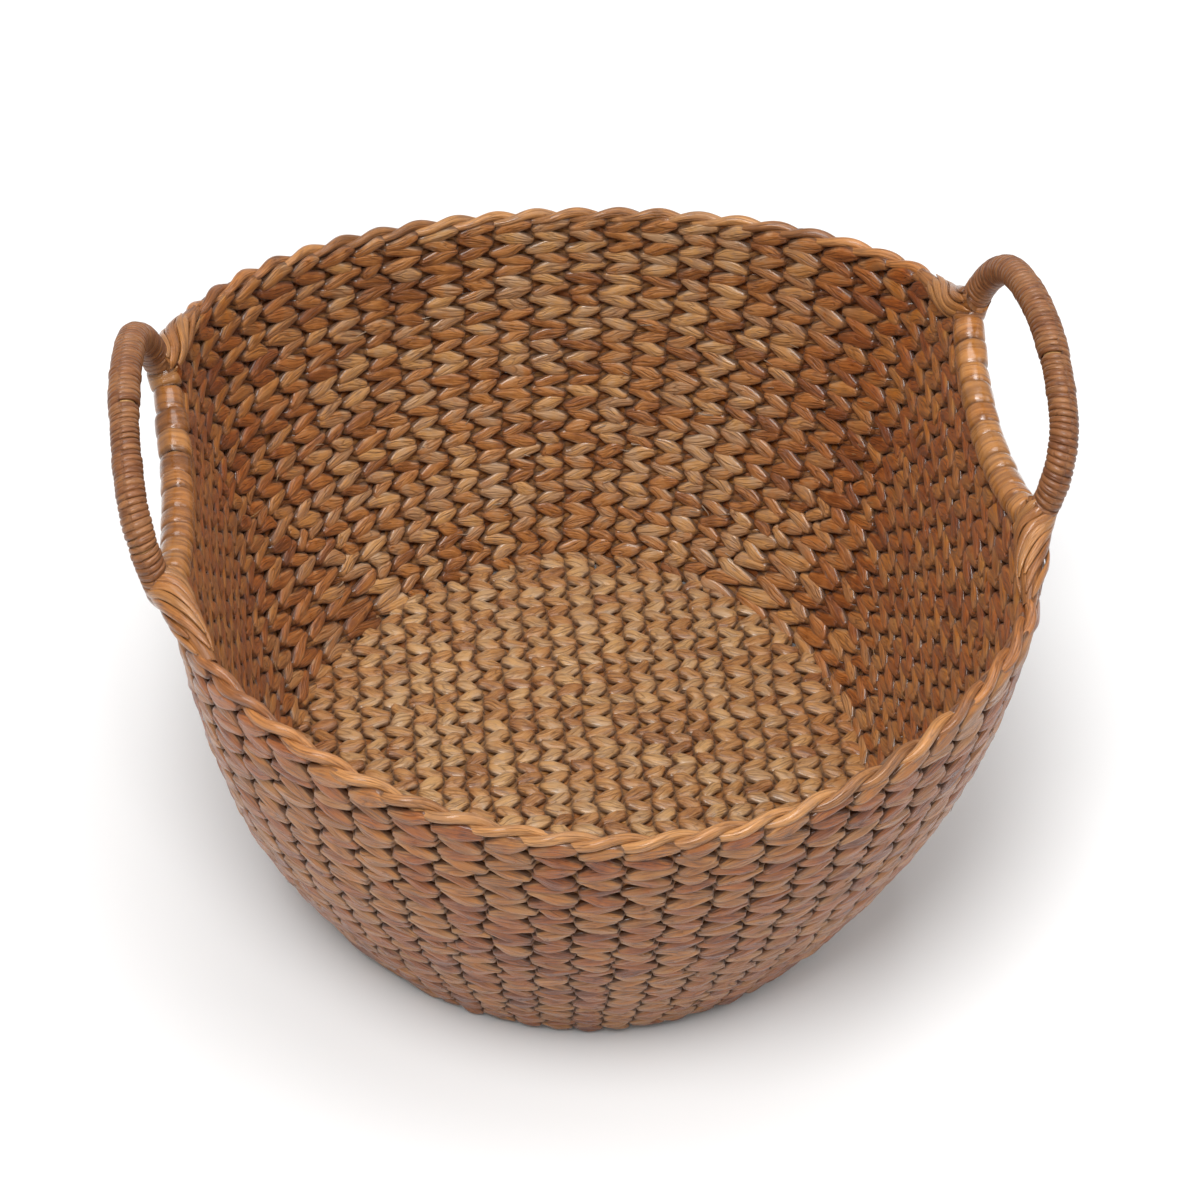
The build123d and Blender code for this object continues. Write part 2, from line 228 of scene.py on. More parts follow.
def smooth_noise(random, count, waves, size):
    """A gentle wander along a row, which closes on itself."""
    position = np.arange(count) / count * 2 * np.pi
    total = np.zeros(count)
    for wave in range(1, waves + 1):
        total += random.normal() * np.sin(wave * 3 * position + random.uniform(0, 2 * np.pi)) / wave
    return total * size


def twined_tube(steps, strand, slant, frame_at, look, random, first_stitch, stitch_count):
    """One strand of a twined pair, as rings round its path.

    steps are stake numbers along the row, whole at each stake. The strand is outside the even
    stakes and inside the odd ones, or the other way round for strand 1, and it crosses its
    partner halfway between stakes, above it or below it as slant says.
    """
    sides = look["sides"]
    turn = np.pi * (steps + strand)
    swing, cross = np.cos(turn), np.sin(turn)
    full = np.abs(swing)
    index = np.mod(np.round(steps).astype(int) - first_stitch, stitch_count)
    shade = random.random(stitch_count)
    fat, lift, tilt = np.clip(random.normal(0, 1, (3, stitch_count)), -1.6, 1.6)[:, index] * full
    fat, lift, tilt = 0.13 * fat, look["lift_jitter"] * lift, 0.4 * tilt
    outside = swing > 0
    push = 1 + random.normal(0, 0.09, stitch_count)[index] * full
    reach = np.where(outside, look["reach_out"], look["reach_in"]) * push
    radial = reach * np.sign(swing) * full ** look["flat"]
    rise_offset = look["cross"] * slant * cross * (1 + tilt) + lift
    height = look["half_height"] * (look["waist"] + (1 - look["waist"]) * full ** look["leaf"]) * (1 + fat)
    depth = look["half_depth"] * (1 + look["turned"] * (1 - full) ** 1.5) * (1 + fat * 0.6)
    point, normal, up, pitch = frame_at(steps)
    rise_offset, height = rise_offset * pitch, height * pitch
    around = (np.arange(sides) + 0.5) / sides * 2 * np.pi
    lobe_phase = random.uniform(0, 2 * np.pi, stitch_count)[index]
    lobes = np.where(outside, look["lobes_out"], look["lobes_in"])[:, None]
    ripple = 1 + lobes * np.cos(look["lobe_count"] * around[None, :] + lobe_phase[:, None]) * full[:, None]
    out = np.cos(around)[None, :]
    wide = np.sign(np.sin(around)) * np.abs(np.sin(around)) ** 0.9
    shingle = np.where(outside, look["shingle"], 0.0)[:, None] * full[:, None] * wide[None, :]
    n_offset = radial[:, None] + depth[:, None] * out * ripple - shingle
    u_offset = rise_offset[:, None] + height[:, None] * wide[None, :]
    tube = point[:, None, :] + normal[:, None, :] * n_offset[..., None] + up[:, None, :] * u_offset[..., None]
    value = {"u": steps.astype(float), "shade": shade[index], "dive": 1 - full, "face": (swing + 1) / 2}
    return tube, value


# A stitch's shape. reach is how far its middle stands off the wall's middle layer, waist how high
# it still is at a crossing, cross how far it passes above or below its partner there, turned how
# much deeper it is there, and shingle how far its upper edge leans back.
WALL_LOOK = {
    "sides": 18,
    "reach_out": 0.0030,
    "reach_in": 0.0027,
    "half_height": 0.0050,
    "half_depth": 0.0022,
    "waist": 0.50,
    "leaf": 0.95,
    "flat": 0.32,
    "turned": 0.6,
    "cross": 0.0021,
    "lift_jitter": 0.00045,
    "lobes_out": 0.20,
    "lobes_in": 0.07,
    "lobe_count": 5,
    "shingle": 0.0010,
}
RINGS_PER_STITCH = 11
CROWDING = 0.045  # how far rings are drawn in towards the crossings, in stake numbers
WANDER = 0.00025
UNEVENNESS = 0.075  # shift of the crossings along the row, in stake numbers
WALL_LENGTH = WALL_HEIGHT * 1.15  # from floor to rim along the wall, about
SPAN_END = 0.8  # how far past its last open stake a cut-off row runs, in stake numbers


def ring_steps(first, last, closed=False):
    """Stake numbers of a strand's rings, closer together at the crossings."""
    count = int(round((last - first) * RINGS_PER_STITCH))
    steps = np.linspace(first, last, count + 1)
    if closed:
        steps = steps[:-1]
    return steps + CROWDING * np.sin(2 * np.pi * steps)


def row_rise(row):
    """How far up the wall the middle of a row is."""
    return WEFT_TOP * (row + 0.5) / ROWS


def stake_angles(rise):
    """Angles of every stake that a row at this rise passes, going round from just past -Y."""
    mitre = MITRE_FLOOR_ANGLE - MITRE_TURN * rise
    clear_of_mitre, clear_of_corner = 0.03, 0.006
    quarter = []
    k = 0
    while np.pi / 2 - k * STAKE_STEP > mitre + clear_of_mitre:
        quarter.append(np.pi / 2 - k * STAKE_STEP)
        k += 1
    reach = half_y(rise) * np.sin(mitre)
    count = int(max(reach - clear_of_corner, 0) // SIDE_STAKE_STEP)
    sides = [np.arcsin(SIDE_STAKE_STEP * j / half_y(rise)) for j in range(-count, count + 1)]
    right = sorted([-a for a in quarter[1:]] + [-mitre] + sides + [mitre] + quarter)
    left = [np.pi - a for a in right[::-1]]
    return np.array(sorted(right + [a for a in left if a > np.pi / 2 + 0.01] + [3 * np.pi / 2]))


def uneven(steps, shifts):
    """Stake numbers with each crossing, halfway between two stakes, shifted a little."""
    return steps + shifts[np.mod(np.floor(steps).astype(int), len(shifts))] * np.sin(np.pi * steps) ** 2


def row_frame(rise, angles, wander, shifts):
    """The path of a row: a function from stake numbers to points, normals, up directions and
    the row's height there as a share of ROW_PITCH."""
    count = len(angles)
    numbers = np.arange(-2, 2 * count + 3)
    lap, place = np.divmod(numbers, count)
    table = angles[place] + 2 * np.pi * lap

    def frame_at(steps):
        angle = np.interp(uneven(steps, shifts), numbers, table)
        shift = np.interp(np.mod(steps, count), np.arange(len(wander)), wander)
        point, normal, up = wall_frame(rise + shift / WALL_LENGTH, angle)
        span = wall(rise + 0.5 * WEFT_TOP / ROWS, angle) - wall(rise - 0.5 * WEFT_TOP / ROWS, angle)
        return point, normal, up, np.linalg.norm(span, axis=-1) / ROW_PITCH

    return frame_at


def row_spans(angles, rise):
    """Runs of stakes along which a row isn't cut off by a handle's bar."""
    open_at = np.array([top_rise(a) > rise - 0.3 * WEFT_TOP / ROWS for a in angles])
    if open_at.all():
        return None
    spans, start = [], None
    count = len(angles)
    first = int(np.argmin(open_at))
    for k in range(first, first + count + 1):
        is_open = open_at[k % count] and k < first + count
        if is_open and start is None:
            start = k
        if not is_open and start is not None:
            spans.append((start - SPAN_END, k - 1 + SPAN_END))
            start = None
    return spans


def wall_row(row, random):
    """Both strands of a row of the wall, as tubes."""
    rise = row_rise(row)
    angles = stake_angles(rise)
    count = len(angles)
    wander = smooth_noise(random, count, 5, WANDER)
    frame_at = row_frame(rise, angles, wander, random.normal(0, UNEVENNESS, count))
    slant = 1 if row % 2 else -1
    spans = row_spans(angles, rise)
    tubes = []
    if spans is None:
        laps = [(0, 2)] if count % 2 else [(0, 1), (1, 1)]
        for strand, lap in laps:
            steps = ring_steps(0, count * lap, closed=True)
            tube, value = twined_tube(steps, strand, slant, frame_at, WALL_LOOK, random, 0, count * lap)
            tubes.append((tube, True, value))
    else:
        for first, last in spans:
            for strand in (0, 1):
                steps = ring_steps(first, last)
                offset = int(np.floor(first))
                tube, value = twined_tube(
                    steps, strand, slant, frame_at, WALL_LOOK, random, offset, int(last - first) + 3
                )
                tubes.append((tube, False, value))
    return tubes


FRAYS_PER_ROW = 7
FRAYS_OUTSIDE = 0.3  # share of them on the outside
FRAY_RADIUS = 0.0004
FRAY_DEPTH = 0.0046  # from the wall's middle layer, just under the strands' surface
PALE_SHADE = 1.6  # above the strands' own shades, which are from 0 to 1


def frayed_ends(row):
    """Loose ends of split fibre that stand a little off a full row, most of them inside."""
    random = np.random.default_rng(500 + row)
    rise = row_rise(row)
    angles = stake_angles(rise)
    count = len(angles)
    frame_at = row_frame(rise, angles, np.zeros(count), np.zeros(count))
    around = np.arange(5) / 5 * 2 * np.pi
    t = np.linspace(0, 1, 8)
    tubes = []
    for _ in range(FRAYS_PER_ROW):
        side = 1 if random.random() < FRAYS_OUTSIDE else -1
        steps = random.uniform(0, count) + random.uniform(0.25, 0.6) * t * random.choice([-1, 1])
        point, normal, up, _ = frame_at(steps)
        away = FRAY_DEPTH + random.uniform(0.0006, 0.0022) * t**2 - 0.0014 * (1 - t) ** 4
        climb = random.uniform(-0.002, 0.002) + random.normal(0, 0.0022) * t**1.5
        line = point + normal * (side * away)[:, None] + up * climb[:, None]
        radius = (FRAY_RADIUS * random.uniform(0.7, 1.3) * (1 - 0.7 * t))[:, None]
        tube = oval_tube(line, normal, up, radius, 1.5 * radius, around)
        tubes.append((tube, False, ring_values(steps, PALE_SHADE, 0.0, (1 + side) / 2)))
    return tubes


def weave_courses(material):
    """The thirty rows of the wall, two to a course, one piece to a course."""
    for course in range(ROWS // 2):
        random = np.random.default_rng(100 + course)
        tubes = wall_row(2 * course, random) + wall_row(2 * course + 1, random)
        if course < RING_COURSES:
            tubes += frayed_ends(2 * course) + frayed_ends(2 * course + 1)
        name = f"weave_course_{course + 1:02d}"
        piece = mesh_object(name, tubes)
        node = f"weft_course_{course + 1:02d}"
        nodes = [node + "_outer", node + "_inner"]
        if course == RING_COURSES:
            nodes += [f"side_top_{side}_{layer}" for side in SIDES for layer in ("outer", "inner")]
        add_piece(piece, material, "wall_strand", *nodes)


FLOOR_LOOK = dict(WALL_LOOK, shingle=0.0, reach_out=0.0022, reach_in=0.0031, half_depth=0.0021)


def weave_floor(material):
    """The rows of the floor, from front to back, twined over the stakes that run under them."""
    long_x = [FLOOR_HALF_X * np.sin(k * STAKE_STEP) for k in range(-6, 7)]
    outer = [long_x[-1] + FLOOR_STAKE_STEP * k for k in range(1, 7)]
    stakes = np.array([-x for x in outer[::-1]] + long_x + outer)
    numbers = np.arange(len(stakes))
    random = np.random.default_rng(7)
    pitch = 2 * FLOOR_HALF_Y / FLOOR_ROWS
    quarters = [[], [], [], []]
    for row in range(FLOOR_ROWS):
        y = pitch * (row - (FLOOR_ROWS - 1) / 2)
        edge = min((abs(y) + 0.002) / FLOOR_HALF_Y, 0.99)
        reach = FLOOR_HALF_X * np.sqrt(1 - edge**2) + 0.001
        last = np.interp(reach, stakes, numbers)
        first = numbers[-1] - last
        wander = random.normal(0, WANDER, len(stakes) + 2)
        shifts = random.normal(0, UNEVENNESS, len(stakes))

        def frame_at(steps, y=y, wander=wander, shifts=shifts):
            x = np.interp(uneven(steps, shifts), numbers, stakes)
            sway = np.interp(steps, np.arange(len(wander)), wander)
            point = np.stack([x, y + sway, np.full(len(x), FLOOR_MID)], axis=-1)
            normal = np.tile([0.0, 0.0, -1.0], (len(x), 1))
            up = np.tile([0.0, 1.0, 0.0], (len(x), 1))
            return point, normal, up, np.full(len(x), pitch / ROW_PITCH)

        for strand in (0, 1):
            steps = ring_steps(first, last)
            slant = 1 if row % 2 else -1
            tube, value = twined_tube(steps, strand, slant, frame_at, FLOOR_LOOK, random, 0, len(stakes) + 1)
            quarters[4 * row // FLOOR_ROWS].append((tube, False, value))
    for k, tubes in enumerate(quarters):
        node = "floor_weft_lower" if k < 2 else "floor_weft_upper"
        add_piece(mesh_object(f"weave_floor_{k + 1}", tubes), material, "floor_strand", node)


# The rim twist


RIM_RISE = 0.980
PLY_RADIUS, TWIST_RADIUS = 0.0029, 0.0024
TWIST_PER_STAKE = 0.93  # half turns
NARROW_END = 0.055  # length over which the twist draws together at each handle
RIM_TUCK = 0.004  # how far the rim runs in under the strips at a hoop's foot


def weave_rim(material):
    """Two strands twisted round each other along the rim, from handle to handle."""
    random = np.random.default_rng(31)
    around = (np.arange(14) + 0.5) / 14 * 2 * np.pi
    for sign, name in ((1, "back"), (-1, "front")):
        ends = []
        for side, centre in CENTRES.items():
            y = centre[1] + sign * (BEHIND_HANDLE - RIM_TUCK)
            a = np.arcsin(y / RIM_HALF_Y)
            ends.append(a if side == "right" else np.pi - a)
        low, high = (ends[0], ends[1]) if sign > 0 else (ends[1], ends[0] + 2 * np.pi)
        count = 420
        angle = np.linspace(low, high, count)
        point, normal, up = wall_frame(np.full(count, RIM_RISE), angle)
        stitches = (angle - np.pi / 2) / STAKE_STEP
        from_end = np.minimum(angle - low, high - angle) * RIM_HALF_Y
        spread = TWIST_RADIUS * np.clip(from_end / NARROW_END, 0.25, 1)
        tubes = []
        for ply in (0, 1):
            twist = TWIST_PER_STAKE * stitches + ply
            turn = np.pi * twist
            wobble = 1 + 0.06 * np.sin(stitches * 1.7 + ply)
            centre = (
                point
                + normal * (spread * np.cos(turn))[:, None]
                + up * (0.0004 + 0.85 * spread * np.sin(turn) * wobble)[:, None]
            )
            crease = 1 + 0.05 * np.cos(4 * around[None, :] + stitches[:, None] * 0.8)
            lump = 0.86 + 0.15 * np.sin(turn + 0.5) + 0.07 * np.sin(stitches * 2.3 + 2 * ply)
            radius = PLY_RADIUS * lump[:, None] * crease
            tube = oval_tube(centre, normal, up, radius, radius, around)
            block = np.floor((twist - 1.5) / 2).astype(int) % 100
            shades = random.random(100)
            tubes.append((tube, False, ring_values(stitches, shades[block])))
        piece = mesh_object(f"rim_twist_{name}", tubes)
        node = "rim_strand_outer" if sign > 0 else "rim_strand_inner"
        add_piece(piece, material, "rim_rope", node)


# Hoops


def arch_points(half, rise, end_radius, up, count):
    """A three-centred arch from +half to -half, evenly spaced, with its outward directions."""
    crown = crown_radius(half, rise, end_radius)
    cx, cy = half - end_radius, rise - crown
    phi = np.arctan2(-cy, cx)
    lengths = [end_radius * phi, crown * (np.pi - 2 * phi), end_radius * phi]
    total = sum(lengths)
    s = np.linspace(0, total, count)
    turn = np.empty(count)
    x, y = np.empty(count), np.empty(count)
    one, two = s < lengths[0], s > lengths[0] + lengths[1]
    mid = ~(one | two)
    turn[one] = s[one] / end_radius
    x[one], y[one] = cx + end_radius * np.cos(turn[one]), end_radius * np.sin(turn[one])
    turn[mid] = phi + (s[mid] - lengths[0]) / crown
    x[mid], y[mid] = crown * np.cos(turn[mid]), cy + crown * np.sin(turn[mid])
    turn[two] = np.pi - phi + (s[two] - lengths[0] - lengths[1]) / end_radius
    x[two], y[two] = -cx + end_radius * np.cos(turn[two]), end_radius * np.sin(turn[two])
    return s, np.stack([x, y * up], -1), np.stack([np.cos(turn), up * np.sin(turn)], -1)


def in_space(name, flat):
    """Points or directions of a hoop's leaning plane in the row frame."""
    side = SIDES[name]
    tall = np.array([side * np.sin(LEAN), 0.0, np.cos(LEAN)])
    return flat[..., :1] * np.array([0.0, 1.0, 0.0]) + flat[..., 1:] * tall


def hoop_path(name, half, rise, end_radius, up, count):
    """Arc length, points, outward and sideways directions of one arch of a hoop."""
    s, points, outward = arch_points(half, rise, end_radius, up, count)
    side = SIDES[name]
    across = np.tile([side * np.cos(LEAN), 0.0, -np.sin(LEAN)], (count, 1))
    return s, in_space(name, points) + CENTRES[name], in_space(name, outward), across


CORD_RADIUS = 0.0017
CORD_FLATNESS, CORD_WIDTH = 0.72, 1.14  # across and along the grip, as shares of its radius
BACK_WINDING = (0.0034, 0.0068)  # pitch, and radius to the cord's middle
FRONT_WINDING = (0.0033, 0.0062)
JOINS = {"right": 0.60, "left": 0.52}  # where the two windings meet, as a share of the grip


def wind_grip(name, material):
    """The fine cord wound round a hoop's grip, with the join in the winding part way along."""
    random = np.random.default_rng(5 if name == "right" else 6)
    s, path, outward, across = hoop_path(name, HALF_LENGTH, GRIP_RISE, GRIP_END_RADIUS, 1, 4000)
    total = s[-1]
    join = total * JOINS[name]
    around = (np.arange(8) + 0.5) / 8 * 2 * np.pi
    tubes = []
    for start, stop, (pitch, core) in ((0.0, join, BACK_WINDING), (join, total, FRONT_WINDING)):
        turns = (stop - start) / pitch
        count = int(turns * 26)
        t = np.linspace(0, turns, count)
        index = np.floor(t).astype(int)
        drift = smooth_noise(random, count, 9, 0.00016)
        lean = 0.0011 * np.cos(2 * np.pi * t) * (1 + 0.4 * np.sin(t * 0.21))
        where = np.clip(start + t * pitch + drift + lean, 0, total)
        at = along_path(where, s, path)
        out = unit(along_path(where, s, outward))
        side = np.tile(across[0], (count, 1))
        forward = unit(np.cross(out, side))
        winding = 2 * np.pi * t
        ray = out * np.cos(winding)[:, None] + side * np.sin(winding)[:, None]
        cord = (CORD_RADIUS * (1 + 0.1 * random.normal(0, 1, int(turns) + 2)[index]))[:, None]
        centre = at + ray * (core + 0.0001 * np.sin(t * 1.3))[:, None]
        tube = oval_tube(centre, ray, forward, cord * CORD_FLATNESS, cord * CORD_WIDTH, around)
        shade = random.random(int(turns) + 2)[index]
        tubes.append((tube, False, ring_values(t * 2, shade)))
    add_piece(mesh_object("grip_winding_" + name, tubes), material, "grip_cord", "grip_cord_" + name)


STRIP_RADIUS = 0.0084
PINCH = 0.72  # radius of a strip's two edges, tucked under its neighbours, as a share


def band_tube(path, outward, across, radius, random, tilt):
    """A flat strip round a bar: rings along the bar, bulged in the middle and pinched at its edges."""
    around = np.arange(28) / 28 * 2 * np.pi
    t = np.linspace(-1, 1, len(path))
    crown = 1 - 0.16 * np.abs(t) ** 5 - 0.02 * t**2
    crown[[0, -1]] = PINCH
    forward = unit(np.gradient(path, axis=0))
    dents = 0
    for k in range(1, 7):
        size = random.normal(0, 0.012)
        phase = random.uniform(0, 6.28) + t[:, None] * random.normal(0, 1.2)
        dents = dents + size * np.cos(k * around[None, :] + phase)
    r = radius * crown[:, None] * (1 + dents)
    slip = tilt * np.cos(around[None, :] + random.uniform(0, 6.28))
    slide = slip * (1 - 0.3 * np.abs(t[:, None]))
    return oval_tube(path, outward, across, r, r, around) + forward[:, None, :] * slide[..., None]


def wrap_bar(name, material):
    """The flat strips wound round a hoop's bar, from foot to foot."""
    random = np.random.default_rng(15 if name == "right" else 16)
    s, path, outward, across = hoop_path(name, HALF_LENGTH, BAR_DROP, BAR_END_RADIUS, -1, 2000)
    inset, overlap, rings = 0.002, 0.0006, 12
    edges = np.linspace(inset, s[-1] - inset, BAR_BANDS + 1)
    edges[1:-1] += random.normal(0, 0.0014, BAR_BANDS - 1)
    tubes = []
    for start, stop in zip(edges[:-1], edges[1:]):
        where = np.linspace(start - overlap, stop + overlap, rings)
        at, out, side = (along_path(where, s, values) for values in (path, outward, across))
        radius = STRIP_RADIUS * (1 + random.normal(0, 0.03))
        tube = band_tube(at, unit(out), side, radius, random, 0.0012 * random.choice([-1, 1]))
        # dive darkens each strip towards its two ends: painted shade in the gaps where it tucks under its
        # neighbours.
        dive = np.abs(np.linspace(-1, 1, rings)) ** 1.5
        tubes.append((tube, False, ring_values(np.linspace(0, 1, rings), random.random(), dive)))
    piece = mesh_object("bar_winding_" + name, tubes)
    nodes = ["bar_strips_" + name, "foot_lashing_back_" + name, "foot_lashing_front_" + name]
    add_piece(piece, material, "flat_strip", *nodes)


FOOT_KNOTS = np.array([-0.010, 0.004, 0.016, 0.040])  # from the handle's end, along the rim
FOOT_RADII = [0.0084, 0.0084, 0.0070, 0.0042]  # at those knots
FOOT_STRIPS = 9
FOOT_STRIP_THICKNESS = 0.0011
FOOT_INNER_GAP = 0.0009  # from the strips' middle down to the plain core that they lie on


def foot_path(name, sign):
    """The way from a hoop's foot onto the rim: points, outward and crosswise directions."""
    side = SIDES[name]
    centre = CENTRES[name]
    y = centre[1] + sign * (BEHIND_HANDLE + FOOT_KNOTS)
    turn = np.arcsin(y / RIM_HALF_Y)
    angle = turn if name == "right" else np.pi - turn
    knots, normals, _ = wall_frame(np.full(4, 0.985), angle)
    foot = in_space(name, np.array([[sign * (HALF_LENGTH - 0.004), 0.002]]))[0] + centre
    knots[0] = foot
    knots[1] = 0.35 * foot + 0.65 * knots[1]
    t = np.linspace(0, 3, 60)
    path = np.stack([catmull(knots[:, axis], t) for axis in range(3)], -1)
    forward = unit(np.gradient(path, axis=0))
    out = np.stack([catmull(normals[:, axis], t) for axis in range(3)], -1)
    out = unit(out - forward * np.sum(out * forward, -1, keepdims=True))
    return t, path, out, np.cross(forward, out) * sign * side


def lash_feet(name, material):
    """Strips wound from each foot of a hoop onto the end of the rim, fanning out as they go."""
    random = np.random.default_rng(25 if name == "right" else 26)
    for sign, end in ((1, "back"), (-1, "front")):
        t, path, out, over = foot_path(name, sign)
        radius = np.interp(t, [0, 1, 2, 3], FOOT_RADII)
        core = (radius - FOOT_INNER_GAP)[:, None]
        tube = oval_tube(path, out, over, core, core, np.arange(20) / 20 * 2 * np.pi)
        # The plain core gets a dive of 0.6, which paints a little shade on it where it shows between the
        # strips.
        tubes = [(tube, False, ring_values(t / 2, 0.3, 0.6))]
        for k in range(FOOT_STRIPS):
            lay = 2 * np.pi * (k + random.normal(0, 0.10)) / FOOT_STRIPS
            start, stop = random.uniform(0, 0.25), random.uniform(2.3, 3.0)
            keep = np.linspace(start, stop, 44)
            at, o, v = (along_path(keep, t, values) for values in (path, out, over))
            r = np.interp(keep, t, radius)
            wind = lay + 1.25 * keep * sign
            ray = unit(o) * np.cos(wind)[:, None] + unit(v) * np.sin(wind)[:, None]
            line = at + ray * (r + 0.0003 * random.normal())[:, None]
            wide = unit(np.cross(ray, unit(np.gradient(line, axis=0))))
            taper = np.clip(np.minimum(keep - start, stop - keep) * 4, 0.15, 1) ** 0.5
            half_width = 0.43 * 2 * np.pi * r / FOOT_STRIPS * taper * (1 + random.normal(0, 0.08))
            thick = FOOT_STRIP_THICKNESS * taper
            section = (np.arange(10) + 0.5) / 10 * 2 * np.pi
            tube = oval_tube(line, wide, ray, half_width[:, None], thick[:, None], section)
            tubes.append((tube, False, ring_values(keep, random.random())))
        piece = mesh_object(f"foot_ties_{end}_{name}", tubes)
        add_piece(piece, material, "flat_strip", f"rim_tie_{end}_{name}")


def catmull(values, t):
    """A smooth curve through values that are one apart, read at t."""
    padded = np.concatenate([[2 * values[0] - values[1]], values, [2 * values[-1] - values[-2]]])
    i = np.clip(np.floor(t).astype(int), 0, len(values) - 2)
    f = t - i
    a, b, c, d = (padded[i + k] for k in range(4))
    square, cube = 2 * a - 5 * b + 4 * c - d, 3 * b - a - 3 * c + d
    return 0.5 * (2 * b + (c - a) * f + square * f**2 + cube * f**3)


# Materials


def node_tree(name):
    material = bpy.data.materials.new(name)
    material.use_nodes = True
    tree = material.node_tree
    return material, tree, tree.nodes["Principled BSDF"]


def add(tree, kind, **settings):
    node = tree.nodes.new(kind)
    for key, value in settings.items():
        setattr(node, key, value)
    return node


def math(tree, operation, *values):
    node = add(tree, "ShaderNodeMath", operation=operation)
    for socket, value in zip(node.inputs, values):
        if isinstance(value, (int, float)):
            socket.default_value = value
        else:
            tree.links.new(value, socket)
    return node.outputs[0]


def ramp(tree, factor, stops):
    node = add(tree, "ShaderNodeValToRGB")
    elements = node.color_ramp.elements
    while len(elements) < len(stops):
        elements.new(0.5)
    for element, (position, color) in zip(elements, stops):
        element.position = position
        element.color = (*color, 1)
    tree.links.new(factor, node.inputs[0])
    return node.outputs["Color"]


def mix(tree, blend, factor, a, b):
    node = add(tree, "ShaderNodeMix", data_type="RGBA", blend_type=blend)
    if isinstance(factor, (int, float)):
        node.inputs[0].default_value = factor
    else:
        tree.links.new(factor, node.inputs[0])
    for socket, value in ((node.inputs[6], a), (node.inputs[7], b)):
        if isinstance(value, tuple):
            socket.default_value = (*value, 1)
        else:
            tree.links.new(value, socket)
    return node.outputs[2]


def ramp_value(tree, factor, low, high):
    """0 below low, 1 above high, straight in between."""
    node = add(tree, "ShaderNodeMapRange", clamp=True)
    node.inputs["From Min"].default_value = low
    node.inputs["From Max"].default_value = high
    tree.links.new(factor, node.inputs["Value"])
    return node.outputs["Result"]


STREAKS = [(0.28, (0.45, 0.38, 0.32)), (0.46, (0.96, 0.96, 0.96)), (0.66, (1.2, 1.18, 1.15))]
# Painted shade: the dark brown that crossings and the strands' edges are darkened towards.
PAINTED_SHADE_BROWN = (0.075, 0.030, 0.012)
# Painted shade colour for the fine creases between the strips.
CREASE_SHADE_COLOUR = (0.085, 0.034, 0.013)
PALE_FIBRE = (0.50, 0.36, 0.25)
FRAYED_FIBRE = (0.56, 0.42, 0.30)
# Outside faces: partly the strands' own outer colour, partly painted shade for the outer wall, which faces
# down, away from the lights.
OUTSIDE_COLOUR_AND_SHADE = (0.74, 0.50, 0.23)
# Painted shade inside the flat sides.
PAINTED_SIDE_SHADE = (0.78, 0.47, 0.10)  # inside the flat sides, where little light comes back


